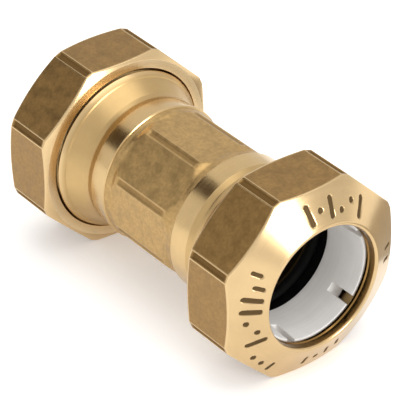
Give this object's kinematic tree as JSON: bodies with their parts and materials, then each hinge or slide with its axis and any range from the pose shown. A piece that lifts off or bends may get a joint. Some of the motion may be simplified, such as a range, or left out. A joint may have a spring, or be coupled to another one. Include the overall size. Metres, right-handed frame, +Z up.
{
  "type": "straight compression coupling",
  "caption": "Straight brass compression coupling that joins two plastic pipes end to end, with an eight-sided nut, a split grip ring, a bush and an O-ring at each end.",
  "frame": {"origin": "centre of the body, on the pipes' axis and midway between the two open ends", "axes": "+X along the pipes' axis towards the right end, +Z up and square to one of the waist's flats, +Y horizontal"},
  "size_m": [0.0774, 0.0404, 0.0404],
  "materials": {
    "body_brass": "forged flats with a fine matt grain; turned collars and threads brighter",
    "nut_brass": "satin flats, turned and polished cone at the open end",
    "white_plastic": "satin, off-white",
    "black_plastic": "matt black",
    "black_rubber": "matt black"
  },
  "bodies": {
    "coupling_body": {"coupling_body": "body_brass", "right_o_ring": "black_rubber", "left_o_ring": "black_rubber"},
    "right_thrust_bush": {"right_thrust_bush": "black_plastic"},
    "right_grip_ring": {"right_grip_ring": "white_plastic"},
    "right_nut": {"right_nut": "nut_brass"},
    "left_thrust_bush": {"left_thrust_bush": "black_plastic"},
    "left_grip_ring": {"left_grip_ring": "white_plastic"},
    "left_nut": {"left_nut": "nut_brass"}
  },
  "joints": [
    {"name": "right_nut_turn", "type": "hinge", "parent": "right_grip_ring", "child": "right_nut", "pos_m": [0, 0, 0], "axis": [1, 0, 0], "range_deg": [0, 720]},
    {"name": "right_grip_ring_slide", "type": "slide", "parent": "coupling_body", "child": "right_grip_ring", "axis": [1, 0, 0], "range_m": [0, 0.004]},
    {"name": "right_thrust_bush_slide", "type": "slide", "parent": "coupling_body", "child": "right_thrust_bush", "axis": [1, 0, 0], "range_m": [0, 0.002]},
    {"name": "left_nut_turn", "type": "hinge", "parent": "left_grip_ring", "child": "left_nut", "pos_m": [0, 0, 0], "axis": [-1, 0, 0], "range_deg": [0, 720]},
    {"name": "left_grip_ring_slide", "type": "slide", "parent": "coupling_body", "child": "left_grip_ring", "axis": [-1, 0, 0], "range_m": [0, 0.004]},
    {"name": "left_thrust_bush_slide", "type": "slide", "parent": "coupling_body", "child": "left_thrust_bush", "axis": [-1, 0, 0], "range_m": [0, 0.002]}
  ],
  "couplings": [
    {"joint": "right_grip_ring_slide", "follows": "right_nut_turn", "m_per_rad": 0.0003183},
    {"joint": "right_thrust_bush_slide", "follows": "right_nut_turn", "m_per_rad": 0.00015915},
    {"joint": "left_grip_ring_slide", "follows": "left_nut_turn", "m_per_rad": 0.0003183},
    {"joint": "left_thrust_bush_slide", "follows": "left_nut_turn", "m_per_rad": 0.00015915}
  ]
}
